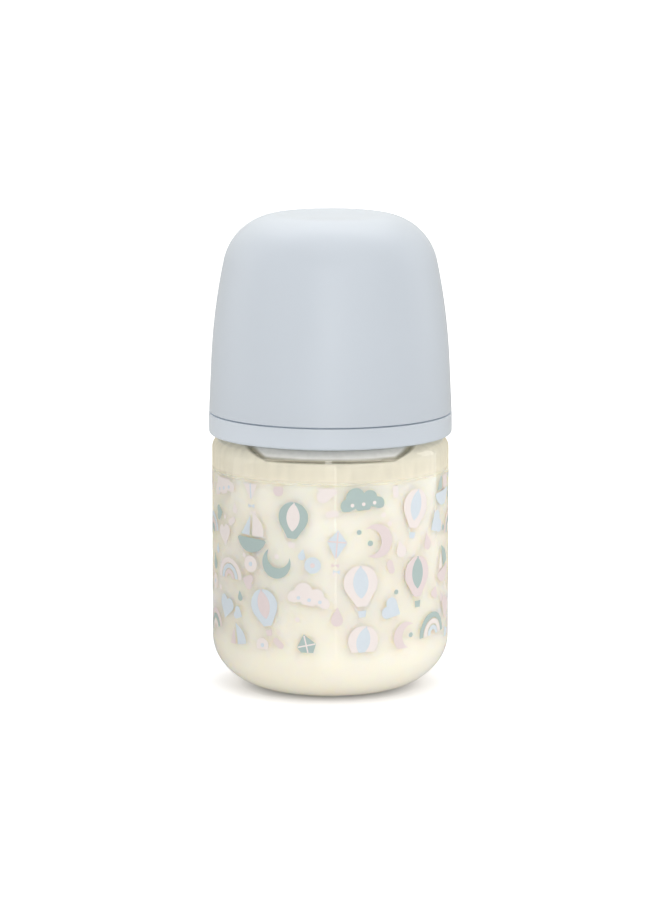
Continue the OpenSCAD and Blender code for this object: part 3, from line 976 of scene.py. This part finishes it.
def paperFloor():
    # matt white sweep, painted darker round the foot: its colour, and its glow as the camera sees
    # it, as the bottle mirrors it and as it is seen through the bottle, fall off towards the
    # foot, a painted shadow added to the real one; further out what the camera sees of it is
    # lifted to white, and what the bottle mirrors of it has two brighter strips in front, painted
    # highlights
    f = floorLook
    material, tree, place = newMaterial("paperFloor")
    fibre = addNode(tree, "ShaderNodeTexNoise", {"Scale": 1 / (f["fibre"] * mm), "Detail": 2.0},
                    {"Vector": place})
    relief = addNode(tree, "ShaderNodeBump", {"Strength": 0.05, "Distance": f["relief"] * mm},
                     {"Height": fibre})
    away = addNode(tree, "ShaderNodeVectorMath", {"operation": "LENGTH"}, {0: place})
    level = {}
    for key, (near, far, least, most) in f["byDistance"].items():
        level[key] = addNode(tree, "ShaderNodeMapRange",
                             {"From Min": near * mm, "From Max": far * mm, "To Min": least,
                              "To Max": most}, {"Value": away.outputs["Value"]})
    paper = addNode(tree, "ShaderNodeBsdfDiffuse", None,
                    {"Color": level["paintedFootShadow"], "Normal": relief})
    plain = addNode(tree, "ShaderNodeBsdfDiffuse", {"Color": colour("#FAFAFA")})
    glow = addNode(tree, "ShaderNodeEmission", {"Color": grey(1), "Strength": f["glow"]})
    bounce = addNode(tree, "ShaderNodeAddShader", None, {0: plain, 1: glow})
    apart = addNode(tree, "ShaderNodeSeparateXYZ", None, {0: place})
    forward = addNode(tree, "ShaderNodeMath", {"operation": "MULTIPLY", 1: -1.0},
                      {0: apart.outputs["Y"]})
    bearing = addNode(tree, "ShaderNodeMath", {"operation": "ARCTAN2"},
                      {0: apart.outputs["X"], 1: forward})
    across = addNode(tree, "ShaderNodeMapRange",
                     {"From Min": -f["facing"], "From Max": f["facing"]},
                     {"Value": bearing})
    # the strips, glowing only where the bottle mirrors the floor: painted highlights
    strips = addNode(tree, "ShaderNodeValToRGB", None, {"Fac": across})
    setStops(strips, [(where, grey(shade)) for where, shade in f["strips"]])
    shining = addNode(tree, "ShaderNodeMath", {"operation": "MULTIPLY_ADD"},
                      {0: strips, 1: level["stripLift"], 2: level["mirroredLift"]})
    rays = addNode(tree, "ShaderNodeLightPath")
    unseen = addNode(tree, "ShaderNodeMix", None,
                     {0: rays.outputs["Is Reflection Ray"], 2: level["throughLift"], 3: shining})
    strength = addNode(tree, "ShaderNodeMix", None,
                       {0: rays.outputs["Is Camera Ray"], 2: unseen, 3: level["seenLift"]})
    lift = addNode(tree, "ShaderNodeEmission", {"Color": grey(1)}, {"Strength": strength})
    both = addNode(tree, "ShaderNodeAddShader", None, {0: paper, 1: lift})
    mixed = addNode(tree, "ShaderNodeMixShader", None,
                    {0: seenDirectly(tree, rays), 1: bounce, 2: both})
    addNode(tree, "ShaderNodeOutputMaterial", None, {"Surface": mixed})
    return material


def makeFloor():
    clearSelection()
    bpy.ops.mesh.primitive_plane_add(size=2 * floorLook["halfWidth"])
    floor = bpy.context.object
    floor.name = floor.data.name = "floor"
    bpy.ops.object.mode_set(mode="EDIT")
    bpy.ops.mesh.subdivide(number_cuts=floorLook["cuts"])
    bpy.ops.object.mode_set(mode="OBJECT")
    floor.data.materials.append(paperFloor())


# metres; the fade runs outward from the room's middle
sideCard = {"place": (-0.265, 0.13, 0.026), "size": (0.45, 0.05, 1), "fade": (0.04, 0.45),
            "tone": "#DAD1B8"}


def creamCard():
    # card that fades to the room's white, there only to be mirrored in the bottle's left edge
    material, tree, place = newMaterial("creamCard")
    apart = addNode(tree, "ShaderNodeSeparateXYZ", None, {0: place})
    sideways = addNode(tree, "ShaderNodeMath", {"operation": "ABSOLUTE"}, {0: apart.outputs["X"]})
    fade = addNode(tree, "ShaderNodeMapRange",
                   {"From Min": sideCard["fade"][0], "From Max": sideCard["fade"][1]},
                   {"Value": sideways})
    tone = addNode(tree, "ShaderNodeValToRGB", None, {"Fac": fade})
    setStops(tone, ((0, colour(sideCard["tone"])), (1, colour("#FFFFFF"))))
    card = addNode(tree, "ShaderNodeEmission", {"Strength": 1.0}, {"Color": tone})
    addNode(tree, "ShaderNodeOutputMaterial", None, {"Surface": card})
    return material


def makeCard():
    clearSelection()
    bpy.ops.mesh.primitive_plane_add(size=1, location=sideCard["place"],
                                     rotation=(math.pi / 2, 0, 0), scale=sideCard["size"])
    bpy.ops.object.transform_apply(location=True, rotation=True, scale=True)
    card = bpy.context.object
    card.name = card.data.name = "cardLeft"
    card.data.materials.append(creamCard())
    card.visible_camera = card.visible_diffuse = card.visible_shadow = False
    card.visible_transmission = False


def whiteWorld(strength):
    # white wherever it is seen, softer as a light on the object
    world = bpy.data.worlds.new("whiteRoom")
    bpy.context.scene.world = world
    world.use_nodes = True
    tree = world.node_tree
    tree.nodes.clear()
    rays = addNode(tree, "ShaderNodeLightPath")
    plain = addNode(tree, "ShaderNodeBackground", {"Color": grey(1), "Strength": strength})
    white = addNode(tree, "ShaderNodeBackground", {"Color": grey(1), "Strength": 1.0})
    mixed = addNode(tree, "ShaderNodeMixShader", None,
                    {0: seenDirectly(tree, rays), 1: plain, 2: white})
    addNode(tree, "ShaderNodeOutputWorld", None, {"Surface": mixed})


def addLamp(name, aim, place, width, height, power):
    lamp = bpy.data.lights.new(name, "AREA")
    lamp.shape, lamp.size, lamp.size_y = "RECTANGLE", width, height
    lamp.energy = power
    holder = bpy.data.objects.new(name, lamp)
    bpy.context.scene.collection.objects.link(holder)
    holder.location = place
    holder.rotation_euler = (Vector(aim) - Vector(place)).to_track_quat("-Z", "Y").to_euler()
    holder.visible_camera = False
    return holder


def lightOnly(name, pieces, lamps):
    # those lamps reach those pieces alone
    group = bpy.data.collections.new(name)
    for piece in pieces:
        group.objects.link(piece)
    for holder in lamps:
        holder.light_linking.receiver_collection = group


makeFloor()
makeCard()
whiteWorld(0.36)

middle, hoodMiddle = (0, 0, 0.07), (0, 0, 0.1)
withMilk = (bottleWall, milkBody, milkFilm, volumeMarks, *prints.values())
# each group's pieces (None: everything) and aim, then its lamps: place, width and height in
# metres, power in watts
lighting = {
    "wholeScene": (None, middle, {
        "keyRight": ((0.75, -1.1, 0.75), 0.9, 0.9, 3.85),
        "frontStrip": ((-0.06, -1.8, 0.4), 0.2, 1.1, 3.5),
        "topSoft": ((0.05, -0.3, 1.3), 0.9, 0.7, 3)}),
    "hoodAndRing": ((hoodShell, ringShell), hoodMiddle, {
        "hoodTop": ((0, 0.7, 1.05), 1.4, 0.9, 17.5),
        "hoodCrown": ((0, -0.9, 1.2), 0.9, 0.7, 1.6),
        "hoodLeft": ((-1.1, -0.8, 0.5), 0.9, 0.9, 2.3),
        "hoodFront": ((0, -1.8, 0.12), 0.16, 1.1, 6.2),
        "rimLeft": ((-1.2, 0.35, 0.35), 0.6, 0.9, 3.4),
        "rimRight": ((1.2, 0.35, 0.35), 0.6, 0.9, 2.5)}),
    "ringAlone": ((ringShell,), middle, {
        "ringLeft": ((-1.4, -0.35, 0.15), 0.6, 0.6, 2.2),
        "ringRight": ((1.4, -0.35, 0.15), 0.6, 0.6, 1.6)}),
    "bottleAndMilk": (withMilk, middle, {
        "sideRight": ((1.35, 0.45, 0.3), 0.5, 0.9, 2.9)}),
    "filmAlone": ((milkFilm,), middle, {
        "filmLeft": ((-1.3, -0.1, 0.3), 0.9, 0.9, 4.5)}),
}
for groupName, (reached, aim, lamps) in lighting.items():
    holders = [addLamp(lampName, aim, *values) for lampName, values in lamps.items()]
    if reached:
        lightOnly(groupName, reached, holders)
bpy.context.scene.view_settings.view_transform = "Standard"
print("studio lit")
